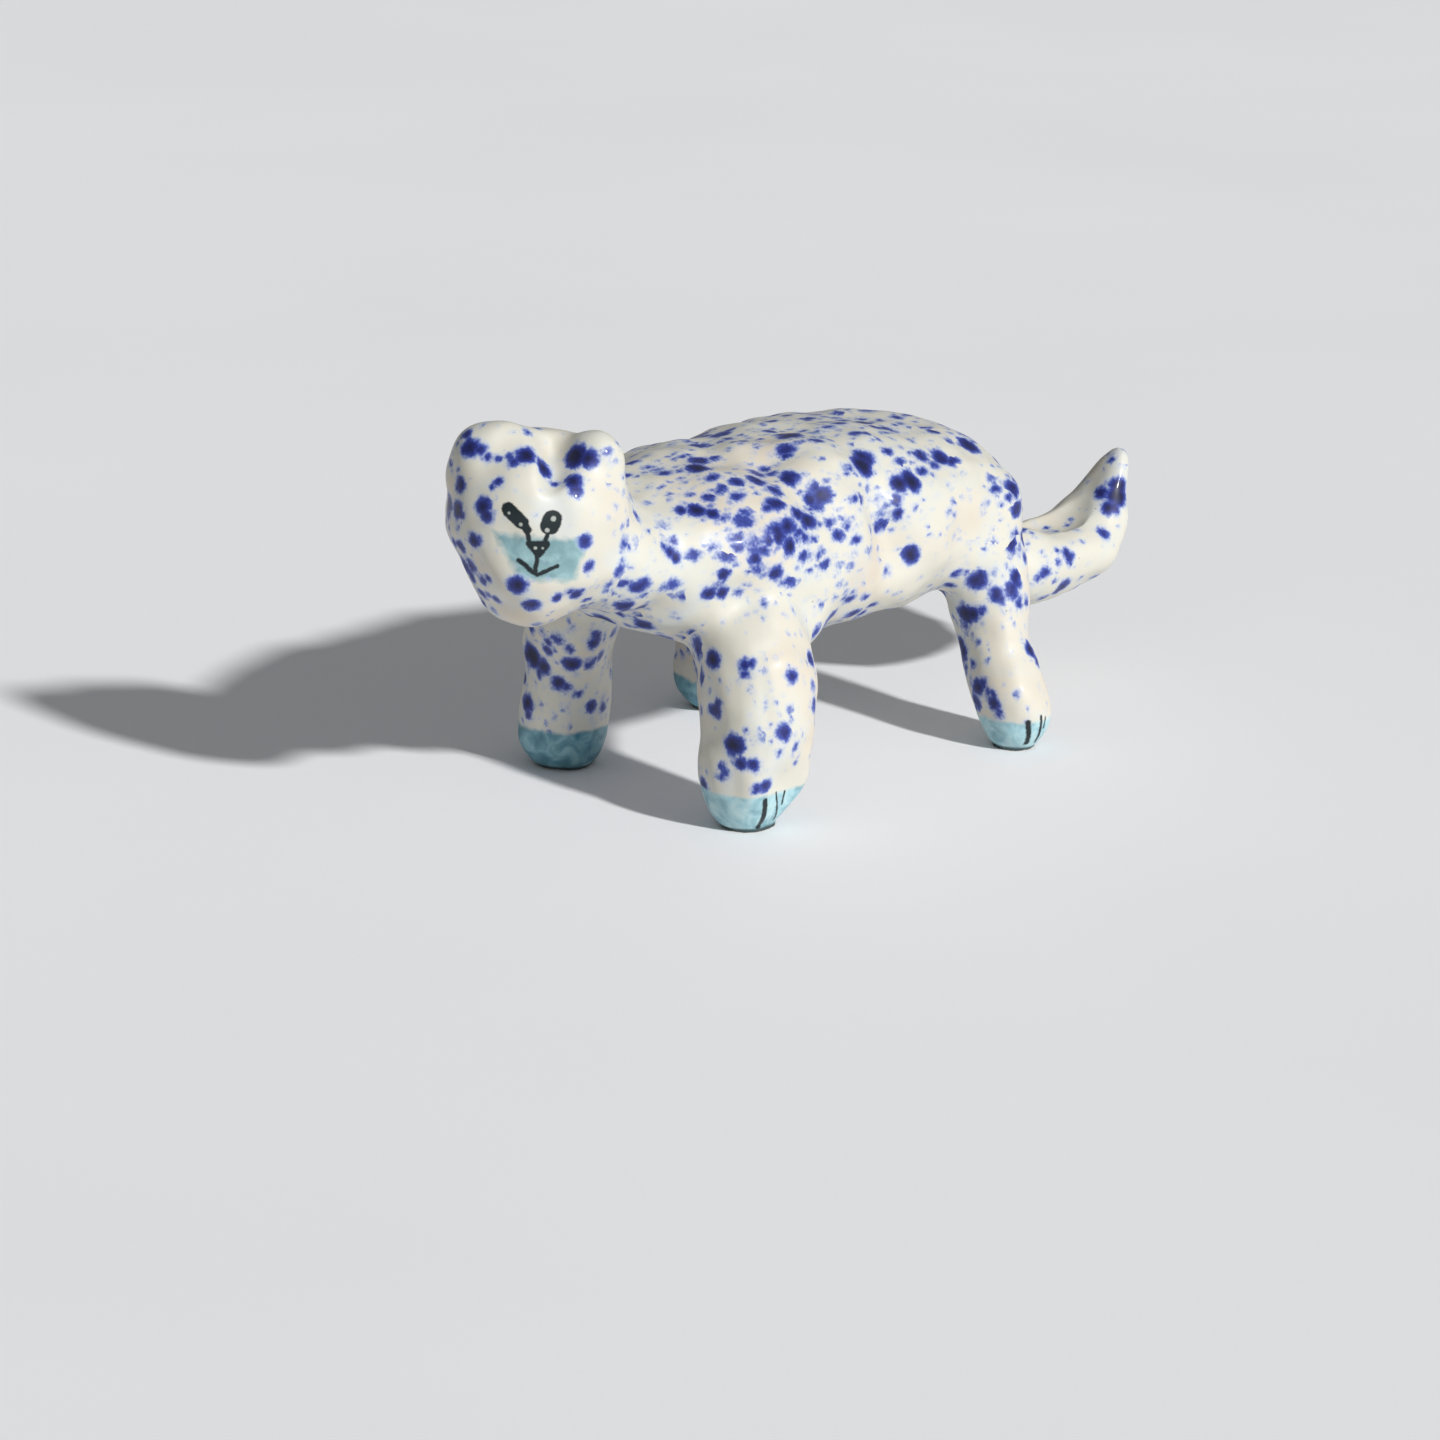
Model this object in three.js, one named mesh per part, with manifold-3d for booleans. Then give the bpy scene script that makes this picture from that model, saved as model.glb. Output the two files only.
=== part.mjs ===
// Hand-built stoneware cat figurine, standing, its head turned a little to its left.
// Nine lumps of clay joined with slip: a torso, a head, two ears, four legs and a tail.
// Millimetres, +Z up. The cat faces -X, its left side faces -Y and its paws stand on Z = 0.
import * as THREE from "three";
import { mergeVertices } from "three/addons/utils/BufferGeometryUtils.js";
import Module from "manifold-3d";

const manifold = await Module();
manifold.setup();

// ---- Driving dimensions -------------------------------------------------------------------------

const torsoLength = 102; // throat to rump
const torsoWidth = 46;
const torsoHeight = 36; // at its deepest, over the belly
const bellyHeight = 24; // floor to the underside of the belly
const wall = 6; // clay left when the torso is pinched out hollow
const ventDiameter = 3; // lets the air out of the hollow in the kiln

const headWidth = 29.5;
const headHeight = 31.5;
const headDepth = 27; // nape to nose
const headTurn = 43; // degrees to the cat's left
const headTilt = 5; // degrees, its right ear the higher one
const headForward = 7.5; // middle of the head ahead of the throat
const headRise = 9.75; // middle of the head above the middle of the torso
const earWidth = 13;
const earThickness = 12;
const earRise = 1.5; // tips above the crown
const rightEarOut = 8.8; // from the middle of the head
const leftEarOut = 7.8;

// Each leg leaves the torso at a share of the torso's length. Its paw stands so far behind that
// place (step) and so far outside it (splay); bow is the share of the splay reached at the knee.
// ankle and thigh are the shares of the thickness that the lump has above the paw and in the torso.
const legs = {
  front_right_leg: {
    side: 1, along: 0.18, step: 4.4, splay: 9.2,
    bow: 0.7, thickness: 15.5, ankle: 0.96, thigh: 1.1,
  },
  front_left_leg: {
    side: -1, along: 0.25, step: -5.2, splay: 8,
    bow: 0.92, thickness: 19.5, ankle: 0.84, thigh: 1.1,
  },
  rear_right_leg: {
    side: 1, along: 0.65, step: -1.8, splay: 12.2,
    bow: 0.9, thickness: 14.5, ankle: 0.94, thigh: 1.3,
  },
  rear_left_leg: {
    side: -1, along: 0.86, step: -4, splay: 12.2,
    bow: 0.45, thickness: 14, ankle: 0.94, thigh: 1.3,
  },
};

const soleTrim = 2; // pressed flat under each paw

const tailReach = 38; // behind the rump
const tailWidth = 17;
const tailThickness = 15; // at the root
const tailDrop = 19; // its middle, where it hangs lowest, below the middle of the torso
const tailRise = 17.5; // its curled-up end above that

const slipGap = 0.35; // between two lumps, filled with slip when they are joined

// ---- Solids -------------------------------------------------------------------------------------

// A closed geometry as a solid that can be cut.
function solidFrom(geometry) {
  const bare = geometry.clone();
  bare.deleteAttribute("normal");
  bare.deleteAttribute("uv");
  const merged = mergeVertices(bare, 1e-4);
  return new manifold.Manifold(
    new manifold.Mesh({
      numProp: 3,
      vertProperties: new Float32Array(merged.attributes.position.array),
      triVerts: new Uint32Array(merged.index.array),
    }),
  );
}

function geometryFrom(solid) {
  const mesh = solid.getMesh();
  const geometry = new THREE.BufferGeometry();
  geometry.setAttribute("position", new THREE.BufferAttribute(new Float32Array(mesh.vertProperties), 3));
  geometry.setIndex(new THREE.BufferAttribute(new Uint32Array(mesh.triVerts), 1));
  geometry.computeVertexNormals();
  return geometry;
}

// A lump of clay drawn out along a line of stations. Each station gives a point on the line and the
// lump's half width and half height there. blunt sets how square the two ends are and box how square
// the section is (2 is round); taper narrows the underside. up is the way the height is measured.
// grow adds to every half size: a little makes the cutter for a neighbour, -wall the hollow inside.
function lump(form, grow = 0) {
  const { stations, blunt = 2.4, box = 2.2, taper = 0, around = 28, along = 20, up = [0, 0, 1] } = form;
  const line = new THREE.CatmullRomCurve3(stations.map((s) => new THREE.Vector3(...s.at)));
  const sizes = new THREE.CatmullRomCurve3(stations.map((s) => new THREE.Vector3(s.wide, s.high, 0)));
  const geometry = new THREE.SphereGeometry(1, around, along);
  const position = geometry.attributes.position;
  const point = new THREE.Vector3();
  for (let i = 0; i < position.count; i++) {
    point.fromBufferAttribute(position, i);
    const t = THREE.MathUtils.clamp((1 - point.y) / 2, 0, 1);
    const turn = Math.atan2(point.z, point.x);
    const fullness = Math.pow(Math.max(0, 1 - Math.pow(Math.abs(2 * t - 1), blunt)), 1 / blunt);
    const square = Math.pow(
      Math.pow(Math.abs(Math.cos(turn)), box) + Math.pow(Math.abs(Math.sin(turn)), box),
      -1 / box,
    );
    const across = Math.cos(turn) * square;
    const upward = Math.sin(turn) * square;
    const forward = line.getTangent(t);
    const side = new THREE.Vector3(...up).cross(forward).normalize();
    const top = forward.clone().cross(side);
    const size = sizes.getPoint(t);
    const narrowing = 1 - taper * Math.max(0, -upward);
    line
      .getPoint(t)
      .addScaledVector(side, across * narrowing * (size.x + grow) * fullness)
      .addScaledVector(top, upward * (size.y + grow) * fullness)
      .addScaledVector(forward, (2 * t - 1) * (1 - fullness) * grow)
      .toArray(position.array, i * 3);
  }
  return solidFrom(geometry);
}

// ---- Torso --------------------------------------------------------------------------------------

// Fractions of the torso's length, width and height, from the throat to the rump.
const throat = -0.46 * torsoLength;
const torsoMiddle = bellyHeight + torsoHeight / 2;

function torsoStation(along, lift, wide, high) {
  return {
    at: [throat + along * torsoLength, 0, torsoMiddle + lift * torsoHeight],
    wide: (wide * torsoWidth) / 2,
    high: (high * torsoHeight) / 2,
  };
}

const torsoForm = {
  stations: [
    torsoStation(0, 0.13, 0.72, 0.62),
    torsoStation(0.11, 0.06, 0.9, 0.76),
    torsoStation(0.25, 0.01, 1, 0.87),
    torsoStation(0.41, -0.03, 1, 0.99),
    torsoStation(0.58, -0.03, 0.98, 0.99),
    torsoStation(0.74, -0.06, 0.99, 0.91),
    torsoStation(0.88, -0.1, 1.05, 0.81),
    torsoStation(1, -0.14, 0.98, 0.66),
  ],
  blunt: 3,
  box: 2.3,
  around: 36,
  along: 32,
};

// ---- Head and ears ------------------------------------------------------------------------------

const headMiddle = new THREE.Vector3(throat - headForward, 0, torsoMiddle + headRise);
const vertical = new THREE.Vector3(0, 0, 1);
const ahead = new THREE.Vector3(-1, 0, 0).applyAxisAngle(vertical, THREE.MathUtils.degToRad(headTurn));
const headUp = vertical.clone().applyAxisAngle(ahead, -THREE.MathUtils.degToRad(headTilt));
const toItsLeft = headUp.clone().cross(ahead);

// A station in the head: its place as shares of the head's depth and height from the middle, and
// out to the cat's left, then its half width and half height.
function headStation(forward, left, above, wide, high) {
  const at = headMiddle
    .clone()
    .addScaledVector(ahead, forward * headDepth)
    .addScaledVector(toItsLeft, left)
    .addScaledVector(headUp, above * headHeight);
  return { at: at.toArray(), wide, high };
}

const headForm = {
  stations: [
    headStation(-0.5, 0, 0, 0.45 * headWidth, 0.43 * headHeight),
    headStation(-0.2, 0, 0, 0.5 * headWidth, 0.5 * headHeight),
    headStation(0.15, 0, 0, 0.5 * headWidth, 0.5 * headHeight),
    headStation(0.5, 0, -0.02, 0.44 * headWidth, 0.45 * headHeight),
  ],
  blunt: 2.8,
  box: 2.8,
  taper: 0.36,
  up: headUp.toArray(),
  around: 32,
  along: 22,
};

// The thumb groove that runs down the forehead between the ears.
const browGroove = {
  stations: [
    headStation(-0.15, 0.14 * headWidth, 0.62, 0.14 * headWidth, 0.14 * headWidth),
    headStation(0.28, 0.09 * headWidth, 0.54, 0.14 * headWidth, 0.14 * headWidth),
    headStation(0.5, 0.02 * headWidth, 0.3, 0.1 * headWidth, 0.1 * headWidth),
  ],
  up: ahead.toArray(),
  around: 16,
  along: 12,
};

function earForm(left) {
  const tip = 0.5 + earRise / headHeight;
  return {
    stations: [
      headStation(0, 0.9 * left, tip - 0.55, 0.4 * earWidth, 0.42 * earThickness),
      headStation(0.08, left, tip - 0.27, 0.5 * earWidth, 0.5 * earThickness),
      headStation(0.04, left, tip, 0.42 * earWidth, 0.4 * earThickness),
    ],
    blunt: 2.8,
    up: ahead.toArray(),
    around: 20,
    along: 14,
  };
}

// ---- Legs ---------------------------------------------------------------------------------------

// From under the floor, where the paw is cut flat, up to a shoulder or hip inside the torso.
function legForm({ side, along, step, splay, bow, thickness, ankle, thigh }) {
  const hipX = throat + along * torsoLength;
  const hipY = 0.3 * torsoWidth;
  const station = (x, y, z, share) => ({
    at: [x, side * y, z],
    wide: (share * thickness) / 2,
    high: (share * thickness) / 2,
  });
  return {
    stations: [
      station(hipX + step, hipY + splay, -soleTrim, 0.5),
      station(hipX + step, hipY + splay, 0.22 * bellyHeight, ankle),
      station(hipX + 0.6 * step, hipY + bow * splay, 0.85 * bellyHeight, 1),
      station(hipX, hipY, torsoMiddle - 0.1 * torsoHeight, thigh),
    ],
    blunt: 3,
    up: [1, 0, 0],
    around: 24,
    along: 18,
  };
}

// ---- Tail ---------------------------------------------------------------------------------------

const rump = throat + torsoLength;
const tailRoot = torsoMiddle - 0.36 * torsoHeight;
const tailLow = torsoMiddle - tailDrop;

// behind is a share of the tail's reach, aside (to the cat's left) of its width.
function tailStation(behind, height, aside, wide, high) {
  return {
    at: [rump + behind * tailReach, -aside * tailWidth, height],
    wide: (wide * tailWidth) / 2,
    high: (high * tailThickness) / 2,
  };
}

const tailForm = {
  stations: [
    tailStation(-0.22, tailRoot, 0.24, 0.9, 0.95),
    tailStation(0.12, tailLow + 0.06 * tailThickness, 0.3, 1, 1),
    tailStation(0.45, tailLow, 0.36, 1, 0.95),
    tailStation(0.75, tailLow + 0.3 * tailRise, 0.42, 0.95, 0.8),
    tailStation(0.88, tailLow + tailRise, 0.48, 0.65, 0.5),
  ],
  blunt: 2.6,
  around: 24,
  along: 20,
};

// The gutter a thumb leaves in the upper face of the tail.
const tailGutter = {
  stations: [
    tailStation(0.02, tailLow + 0.8 * tailThickness, 0.3, 0.6, 0.5),
    tailStation(0.35, tailLow + 0.6 * tailThickness, 0.36, 0.66, 0.6),
    tailStation(0.6, tailLow + 0.85 * tailThickness, 0.42, 0.66, 0.6),
    tailStation(0.66, tailLow + 1.3 * tailRise, 0.48, 0.4, 0.4),
  ],
  around: 16,
  along: 14,
};

// ---- Assembly -----------------------------------------------------------------------------------

const cat = new THREE.Group();
cat.name = "ceramic_cat";
const glaze = new THREE.MeshStandardMaterial({ color: "#eeeade", roughness: 0.3, metalness: 0 });

function add(name, solid) {
  const mesh = new THREE.Mesh(geometryFrom(solid), glaze);
  mesh.name = name;
  cat.add(mesh);
}

const floorSize = 3 * torsoLength;
const floor = solidFrom(
  new THREE.BoxGeometry(floorSize, floorSize, floorSize).translate(0, 0, -floorSize / 2),
);
const vent = solidFrom(
  new THREE.CylinderGeometry(ventDiameter / 2, ventDiameter / 2, 4 * wall, 16)
    .rotateX(Math.PI / 2)
    .translate(0, 0, bellyHeight),
);
const torsoCutter = lump(torsoForm, slipGap);
const headCutter = lump(headForm, slipGap);
const rearLeftCutter = lump(legForm(legs.rear_left_leg), slipGap);

add("torso", lump(torsoForm).subtract(lump(torsoForm, -wall)).subtract(vent));
add("head", lump(headForm).subtract(lump(browGroove)).subtract(torsoCutter));
add("right_ear", lump(earForm(-rightEarOut)).subtract(headCutter).subtract(torsoCutter));
add("left_ear", lump(earForm(leftEarOut)).subtract(headCutter).subtract(torsoCutter));
for (const [name, leg] of Object.entries(legs)) {
  add(name, lump(legForm(leg)).subtract(torsoCutter).subtract(floor));
}
add("tail", lump(tailForm).subtract(lump(tailGutter)).subtract(torsoCutter).subtract(rearLeftCutter));

// The origin is on the floor, under the middle of the whole cat.
const box = new THREE.Box3().setFromObject(cat);
const middle = box.getCenter(new THREE.Vector3());
for (const mesh of cat.children) {
  mesh.geometry.translate(-middle.x, -middle.y, 0);
}

export default cat;
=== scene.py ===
import math

import bmesh
import bpy
import numpy as np
from mathutils import Matrix, Vector
from mathutils.bvhtree import BVHTree


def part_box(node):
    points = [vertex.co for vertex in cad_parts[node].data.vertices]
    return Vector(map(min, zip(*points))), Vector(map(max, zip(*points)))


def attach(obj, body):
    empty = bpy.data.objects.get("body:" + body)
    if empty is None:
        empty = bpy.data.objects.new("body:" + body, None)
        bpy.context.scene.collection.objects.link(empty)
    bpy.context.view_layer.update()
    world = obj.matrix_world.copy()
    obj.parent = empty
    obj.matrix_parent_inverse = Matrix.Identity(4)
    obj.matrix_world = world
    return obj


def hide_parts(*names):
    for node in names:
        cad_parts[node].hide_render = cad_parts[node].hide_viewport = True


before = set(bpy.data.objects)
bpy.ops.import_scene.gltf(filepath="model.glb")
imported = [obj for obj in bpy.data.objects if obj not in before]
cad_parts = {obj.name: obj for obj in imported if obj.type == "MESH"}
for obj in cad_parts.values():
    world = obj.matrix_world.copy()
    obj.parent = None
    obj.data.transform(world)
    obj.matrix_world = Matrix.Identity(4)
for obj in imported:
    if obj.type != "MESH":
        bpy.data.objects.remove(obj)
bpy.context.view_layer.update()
mm = 0.001

# ---- The wet clay ---------------------------------------------------------------------------------
# Nine lumps of white stoneware clay, pressed together wet. Slip fills each joint, and a wet finger
# draws the clay over it, so one smooth skin with soft hollows runs over all of them. The pieces are
# cut from this skin further on, along the joints.

# In the order that they are cut from the skin. What is left at the end is the torso.
LUMPS = ("right_ear", "left_ear", "head", "front_right_leg", "front_left_leg",
         "rear_right_leg", "rear_left_leg", "tail", "torso")
SLIP = 0.5 * mm  # how far each lump swells to close the slip gap
GRAIN = 0.5 * mm  # spacing of the skin's mesh
THUMB_STROKES = 26  # rounds of smoothing over the whole skin
JOINT_REACH = 6 * mm  # how far from a neighbour the finger smooths the clay
JOINT_STROKES = 110  # rounds of smoothing in the joints
SOLE_HEIGHT = 0.4 * mm  # the clay below this is pressed flat on the table
WELD = 0.002 * mm  # nearer than this, two points of a CAD mesh are one
CLEAR_OF_WALL = 0.01 * mm  # starts a ray just off its own face

# Wads pressed into the joints: middle and half sizes in millimetres.
WADS = (
    ((-53, -7, 46), (11, 9, 9)),  # between the left cheek and the shoulder
    ((-24, -17, 31), (8, 6, 7)),  # behind the left shoulder
    ((26, -17, 33), (9, 6, 8)),  # over the left hip
)

# Dents of the hand: width and depth in millimetres, from a thumb's down to a fingertip's.
DENTS = ((16, 2.2), (7, 1.1), (3.5, 0.25))

# Where a thumb pushed the clay in or pulled it out: place, push and reach in millimetres.
PUSHES = (
    ((-30, -20, 48), (0, -1.4, 0.6), 10),  # the shoulder, proud
    ((-27, -8, 58), (0, 0.3, -1.0), 8),  # the valley behind it
    ((-20, -11, 57), (0, 0.3, -1.6), 6),
    ((-20, -19, 52), (0, 1.2, -1.2), 6),
    ((-5, -21, 48), (0, 1.8, -0.5), 5),  # the crease in front of the haunch
    ((-3, -22, 43), (0, 2.0, 0), 5),
    ((-1, -22, 38), (0, 1.5, 0), 6),
    ((12, -22, 45), (0, -0.9, 0.3), 12),  # the haunch
    ((-66, -4, 67), (0.9, 0.6, -1.3), 3.5),  # the brow
    ((-67, -5.5, 65.5), (1.0, 1.0, -0.8), 4),
    ((-69, -8, 62), (0.7, 0.7, -0.3), 4),
    ((-68, 0, 68), (0, 0, 1.2), 6),  # between the right ear and the crown
    ((-60, -9, 67), (0, 0, 0.5), 6),
    ((0, 6, 60), (0, 0, -1.0), 26),  # the back
    ((-37, -32, 10), (-0.3, 1.2, 0), 8),  # the outer side of the left paw
    ((-36, -32, 7), (0, 2.0, 0), 7),
    ((-38, -21, 38.5), (0.2, 0.8, -0.2), 5),  # where that leg meets the chest
    ((-33, 12, 19), (-0.7, 0.8, 0), 9),  # the inner side of the right front leg
    ((-78, 3, 48), (0.7, -0.8, 0), 9),  # the right cheek
    ((75, -12, 27), (-1.1, 1.0, 0.3), 9),  # the outside of the tail's curl
)


def lump_mesh(node):
    """A CAD node as a bmesh of its own, its loose triangles merged."""
    clay = bmesh.new()
    clay.from_mesh(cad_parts[node].data)
    bmesh.ops.remove_doubles(clay, verts=clay.verts, dist=WELD)
    return clay


def finished(clay, name):
    """A bmesh as a mesh object in the scene."""
    mesh = bpy.data.meshes.new(name)
    clay.to_mesh(mesh)
    clay.free()
    made = bpy.data.objects.new(name, mesh)
    bpy.context.scene.collection.objects.link(made)
    return made


def work(piece, kind, **settings):
    """Adds a modifier with its settings and applies it."""
    tool = piece.modifiers.new(kind.lower(), kind)
    for setting, value in settings.items():
        setattr(tool, setting, value)
    seen = piece.evaluated_get(bpy.context.evaluated_depsgraph_get())
    worked = bpy.data.meshes.new_from_object(seen)
    piece.modifiers.clear()
    old = piece.data
    piece.data = worked
    bpy.data.meshes.remove(old)


def points(mesh):
    """The mesh's points as an array of rows."""
    flat = np.empty(3 * len(mesh.vertices))
    mesh.vertices.foreach_get("co", flat)
    return flat.reshape(-1, 3)


def move_points(mesh, places):
    """Puts the mesh's points at new places, given as points() gives them."""
    mesh.vertices.foreach_set("co", places.ravel())
    mesh.update()


# Only the outside of the hollow torso goes into the skin, with its vent closed. A face of the inner
# wall looks across the hollow at another face.
outside = lump_mesh("torso")
walls = BVHTree.FromBMesh(outside)
inner_wall = []
for face in outside.faces:
    start = face.calc_center_median() + face.normal * CLEAR_OF_WALL
    if walls.ray_cast(start, face.normal)[0] is not None:
        inner_wall.append(face)
bmesh.ops.delete(outside, geom=inner_wall, context="FACES")
bmesh.ops.holes_fill(outside, edges=[edge for edge in outside.edges if edge.is_boundary])

together = bmesh.new()
for lump in LUMPS:
    clay = outside if lump == "torso" else lump_mesh(lump)
    part = bpy.data.meshes.new(lump)
    clay.to_mesh(part)
    together.from_mesh(part)
    bpy.data.meshes.remove(part)
for middle, half_sizes in WADS:
    shape = Matrix.LocRotScale(Vector(middle) * mm, None, Vector(half_sizes) * mm)
    bmesh.ops.create_icosphere(together, subdivisions=4, radius=1, matrix=shape)
skin = finished(together, "skin")
work(skin, "DISPLACE", strength=SLIP, mid_level=0)
work(skin, "REMESH", mode="VOXEL", voxel_size=GRAIN)
work(skin, "DISPLACE", strength=-SLIP, mid_level=0)
work(skin, "SMOOTH", factor=0.5, iterations=THUMB_STROKES)

# How near each point is to a second lump: 1 in the joint, 0 at JOINT_REACH from it.
places = points(skin.data)
to_lump = np.full((len(LUMPS), len(places)), JOINT_REACH)
for row, lump in enumerate(LUMPS):
    low, high = np.array(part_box(lump))
    near = np.all((places > low - JOINT_REACH) & (places < high + JOINT_REACH), axis=1)
    surface = BVHTree.FromBMesh(lump_mesh(lump))
    for i in np.flatnonzero(near):
        found = surface.find_nearest(Vector(places[i]), JOINT_REACH)
        if found[0] is not None:
            to_lump[row, i] = found[3]
for middle, half_sizes in WADS:
    from_wad = np.linalg.norm((places / mm - middle) / half_sizes, axis=1) - 1
    to_wad = np.clip(from_wad * min(half_sizes) * mm, 0, JOINT_REACH)
    to_lump = np.vstack((to_lump, to_wad))
second = np.sort(to_lump, axis=0)[1]
joint = skin.vertex_groups.new(name="joint")
for i in np.flatnonzero(second < JOINT_REACH):
    joint.add([int(i)], 1 - second[i] / JOINT_REACH, "REPLACE")
work(skin, "SMOOTH", factor=0.5, iterations=JOINT_STROKES, vertex_group="joint")

# The hand leaves broad, shallow hollows about a thumb wide, and small dents inside them.
soles = points(skin.data)[:, 2] < SOLE_HEIGHT
for width, depth in DENTS:
    dents = bpy.data.textures.new("dents", "CLOUDS")
    dents.noise_scale = width * mm
    dents.noise_depth = 0
    work(skin, "DISPLACE", texture=dents, texture_coords="LOCAL", strength=depth * mm, mid_level=0.5)
# A push fades out round its place as a bell curve does, and leaves the soles flat on the table.
places = points(skin.data)
for middle, push, reach in PUSHES:
    away = np.linalg.norm(places / mm - middle, axis=1) / reach
    places += np.exp(-2 * away ** 2)[:, None] * np.array(push) * mm
places[soles, 2] = 0
places[:, 2] = np.maximum(places[:, 2], 0)
move_points(skin.data, places)
skin.data.shade_smooth()

skin_tree = BVHTree.FromPolygons(
    [v.co for v in skin.data.vertices], [p.vertices for p in skin.data.polygons]
)

# The pieces are cut apart along the joints, and each is closed there. The knife is a lump's own
# shape, coarse, soft-edged and swollen enough to take in the skin over it.
KNIFE_GRAIN = 0.8 * mm
KNIFE_SWELL = 2 * mm
KNIFE_STROKES = 6
CUT_FACE = 1  # the material slot that marks a cut until the piece is glazed

rest_of_skin = bpy.data.objects.new("torso_glazed", skin.data.copy())
bpy.context.scene.collection.objects.link(rest_of_skin)


def mark_as_cut(tool):
    """Marks a tool's faces, so that the faces it cuts are known in the piece."""
    faces = np.full(len(tool.data.polygons), CUT_FACE, np.int32)
    tool.data.materials.clear()
    tool.data.polygons.foreach_set("material_index", faces)


def cut_piece(lump):
    """Cuts the part of the skin round a lump off the rest, and closes both along the joint."""
    knife = finished(lump_mesh(lump), "knife")
    work(knife, "REMESH", mode="VOXEL", voxel_size=KNIFE_GRAIN)
    work(knife, "DISPLACE", strength=KNIFE_SWELL, mid_level=0)
    work(knife, "SMOOTH", factor=0.5, iterations=KNIFE_STROKES)
    mark_as_cut(knife)
    piece = bpy.data.objects.new(lump + "_glazed", rest_of_skin.data.copy())
    bpy.context.scene.collection.objects.link(piece)
    work(piece, "BOOLEAN", operation="INTERSECT", object=knife, solver="MANIFOLD")
    work(rest_of_skin, "BOOLEAN", operation="DIFFERENCE", object=knife, solver="MANIFOLD")
    bpy.data.objects.remove(knife)
    return piece


pieces = {lump: cut_piece(lump) for lump in LUMPS[:-1]}
pieces["torso"] = rest_of_skin

# ---- Cobalt ---------------------------------------------------------------------------------------
# Blue underglaze over the whole cat once its pieces are joined: flicked off a stiff brush in chance
# drops, thick on the back and thin on the left side, with larger dabs touched on by hand.

# Where it was flicked thickly or kept off: middle and reach in millimetres, and the change. The
# change is whole up to half the reach, and fades out at LOAD_FADES times the reach.
LOAD_FADES = 1.5
COBALT_LOAD = (
    ((0, 0, 30), 90, 0.8),  # everywhere
    ((-8, 6, 62), 28, 0.9),  # the back
    ((-32, -14, 54), 10, 0.4),  # the shoulder
    ((-60, -6, 36), 10, 0.6),  # the throat
    ((-78, 6, 48), 10, 0.6),  # the right cheek
    ((2, -26, 38), 18, -0.35),  # the left flank
    ((-44, -24, 36), 9, -0.4),  # the chest
    ((-36, -30, 16), 14, -0.5),  # the left front leg
    ((26, -30, 14), 13, -0.4),  # the left rear leg
    ((-38, 16, 12), 10, -0.3),  # the right front leg
    ((-75, -10, 52), 11, -1.3),  # the face
    ((62, -11, 28), 12, -0.4),  # the tail
)

# Groups of dabs: x, y and z of the middle, reach and largest radius in millimetres, and how many.
BODY_DABS = (
    # neck
    (-57, -12, 40, 2, 1.5, 3), (-52, -14, 38, 4, 1.2, 3), (-50, -16, 48, 4, 1.2, 4),
    # shoulder, chest and nape
    (-36, -20, 47, 3, 2, 3), (-31, -21, 48, 3, 2.2, 3), (-27, -21, 46, 4, 1.6, 3),
    (-42, -18, 42, 3, 1.6, 4), (-42, -14, 53, 3, 1.7, 3), (-33, -6, 57, 3, 2, 1),
    # behind the shoulder
    (-20, -15, 55, 2, 2, 1), (-18, -20, 51, 3, 1.7, 2), (-27, -14, 56, 4, 1.9, 2),
    # flank
    (-4, -17, 54, 4, 2.3, 2), (5, -20, 50, 3, 2.1, 3), (-3, -22, 46, 3, 2, 3),
    (3, -22, 38, 0, 1.8, 1), (-2, -22, 36, 2, 1.1, 1),
    # haunch and rump
    (17, -17, 52, 0, 2, 1), (28, -13, 50, 0, 2.4, 1), (38, -15, 42, 0, 1.6, 1),
    (29, -21, 36, 3, 1.8, 2), (22, -21, 30, 0, 2.1, 1), (32, -21, 31, 2, 1.6, 2),
    # front left leg
    (-43, -19, 29, 2, 1.6, 2), (-42, -25, 29, 2, 1, 3), (-44, -21, 21, 2, 1.3, 3),
    (-44, -25, 16, 3, 2, 3), (-45, -24, 11, 2, 0.7, 4), (-45, -19, 8, 0, 1.2, 1),
    (-41, -29, 9, 2, 1.2, 2), (-36, -30, 27, 0, 1.2, 1), (-29, -28, 28, 0, 1.3, 1),
    (-36, -31, 15, 4, 0.6, 3),
    # rear left leg
    (27, -24, 27, 3, 1.8, 2), (21, -19, 23, 3, 2, 3), (22, -18, 16, 2, 1.6, 3),
    (20, -23, 11, 2, 1.6, 2), (20, -27, 9, 2, 1.3, 4), (29, -28, 17, 3, 1.6, 2),
    (35, -24, 26, 0, 1.2, 1),
    # front right leg
    (-43, 22, 21, 3, 2.4, 3), (-44, 15, 26, 3, 1.2, 4), (-42, 14, 21, 2, 1.7, 1),
    (-40, 11, 25, 2, 1.2, 3), (-42, 17, 17, 2, 1.4, 3), (-42, 24, 12, 2, 1.6, 2),
    (-36, 15, 12, 4, 1.1, 3), (-41, 26, 16, 0, 1.2, 1),
    # rear right leg
    (8, 31, 24, 0, 1.8, 1), (5, 31, 17, 0, 1.4, 1), (11, 31, 13, 0, 1.6, 1),
    (2, 24, 20, 0, 1.5, 1),
    # tail
    (73, -12, 33, 3, 2.3, 4), (71, -12, 31, 2, 1.4, 2), (67, -13, 27, 2, 1.3, 1),
    (56, -14, 25, 4, 1.3, 2), (56, -13, 20, 2, 1.6, 2), (61, -7, 28, 4, 0.7, 4),
    (51, -13, 25, 4, 0.7, 4),
)

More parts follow.
